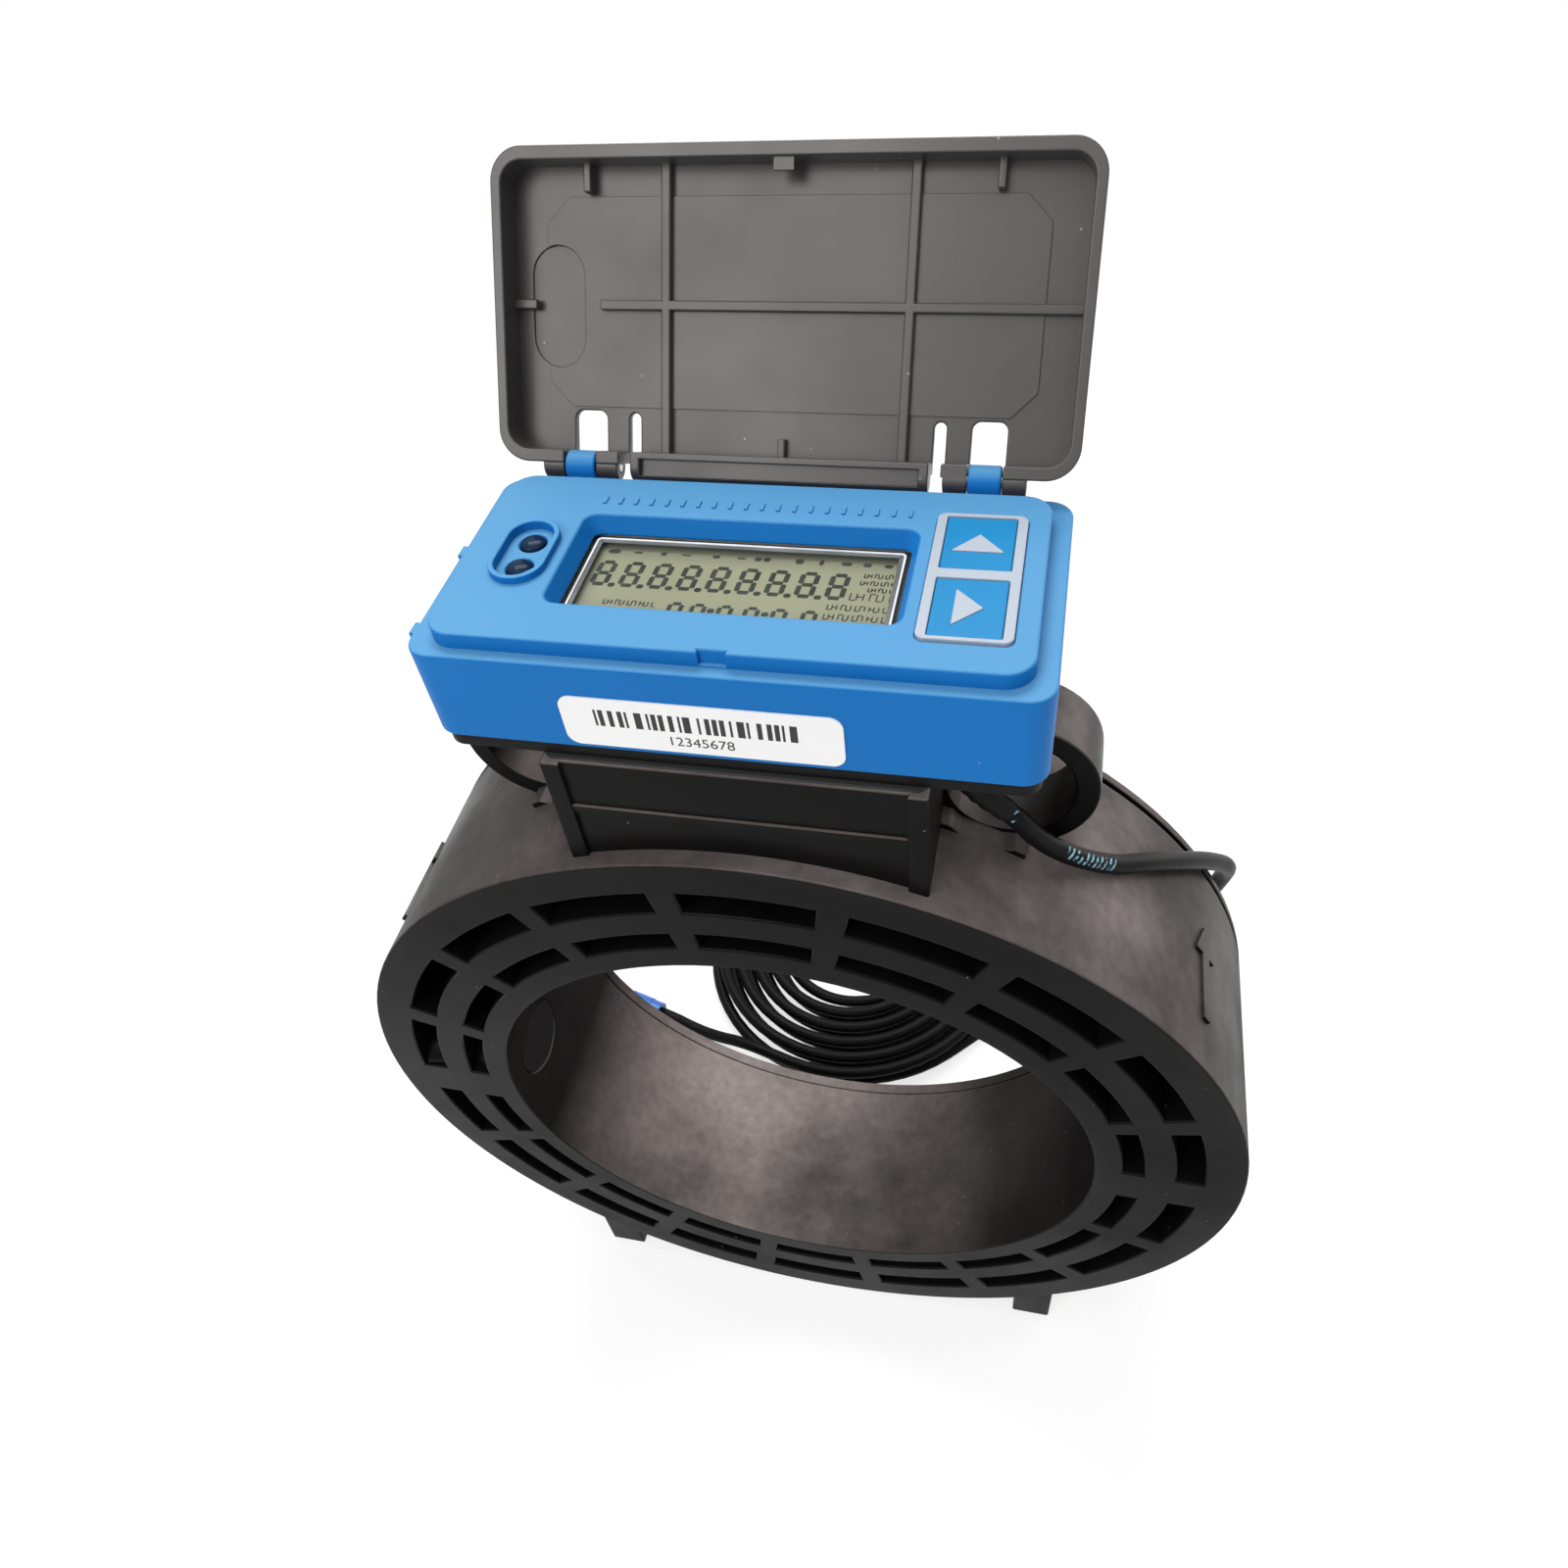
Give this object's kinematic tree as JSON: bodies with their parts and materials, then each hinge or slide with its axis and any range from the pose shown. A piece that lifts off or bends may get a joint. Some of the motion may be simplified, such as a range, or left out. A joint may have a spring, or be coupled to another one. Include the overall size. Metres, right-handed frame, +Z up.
{
  "type": "ultrasonic flow meter",
  "caption": "Wafer ultrasonic flow meter for a large pipe, with a moulded ring, a display register with a flip lid and keys, and a coiled output cable.",
  "frame": {"origin": "centre of the flow bore, midway between the two gasket faces", "axes": "+Y along the flow axis towards the rear, +X to the viewer's right of the register, +Z up through the neck"},
  "size_m": [0.218, 0.1852, 0.3152],
  "materials": {
    "ring_black": "satin",
    "base_black": "satin",
    "case_blue": "satin",
    "key_blue": "smooth",
    "light_grey": "satin",
    "lid_grey": "semi-gloss",
    "label_white": "printed",
    "window_clear": "clear",
    "lcd_green": "polished",
    "frame_white": "moulded",
    "strip_pink": "smooth",
    "board_green": "lacquered",
    "dark_plastic": "moulded",
    "lens_blue": "polished",
    "steel": "zinc plated",
    "seal_rubber": "smooth",
    "potting_black": "cast",
    "lead_red": "smooth",
    "cell_green": "sleeved",
    "cable_black": "semi-matt",
    "plug_blue": "smooth",
    "pin_brass": "plated"
  },
  "bodies": {
    "meter": {"ring_body": "ring_black", "rear_cover": "ring_black", "base_plate": "base_black", "register_case": "case_blue", "keypad_frame": "light_grey", "number_label": "label_white", "display_window": "window_clear", "lcd_panel": "lcd_green", "lcd_frame": "frame_white", "board_connector": "frame_white", "contact_strips": "strip_pink", "main_board": "board_green", "key_switches": "dark_plastic", "port_diodes": "dark_plastic", "battery_cradle": "dark_plastic", "transducer_left": "dark_plastic", "transducer_right": "dark_plastic", "gland_nut": "dark_plastic", "cable_gland": "dark_plastic", "coil_tie": "dark_plastic", "port_lenses": "lens_blue", "rear_cover_screws": "steel", "neck_screws": "steel", "base_screws": "steel", "board_screws": "steel", "hinge_pins": "steel", "gland_locknut": "steel", "transducer_seals": "seal_rubber", "neck_seal": "seal_rubber", "case_seal": "seal_rubber", "transducer_potting": "potting_black", "lead_left": "lead_red", "lead_right": "lead_red", "battery_cell": "cell_green", "inner_lead": "cable_black", "cable_run": "cable_black", "cable_coil": "cable_black", "cable_tail": "cable_black", "end_connector": "plug_blue", "connector_pins": "pin_brass"},
    "lid": {"lid": "lid_grey"},
    "key_up": {"key_up": "key_blue", "arrow_up": "light_grey"},
    "key_right": {"key_right": "key_blue", "arrow_right": "light_grey"}
  },
  "joints": [
    {"name": "lid_hinge", "type": "hinge", "parent": "meter", "child": "lid", "pos_m": [0, 0.0302, 0.1568], "axis": [1, 0, 0], "range_deg": [0, 122]},
    {"name": "key_up_press", "type": "slide", "parent": "meter", "child": "key_up", "axis": [0, 0, -1], "range_m": [0, 0.0004], "stiffness_N_per_m": 800},
    {"name": "key_right_press", "type": "slide", "parent": "meter", "child": "key_right", "axis": [0, 0, -1], "range_m": [0, 0.0004], "stiffness_N_per_m": 800}
  ]
}
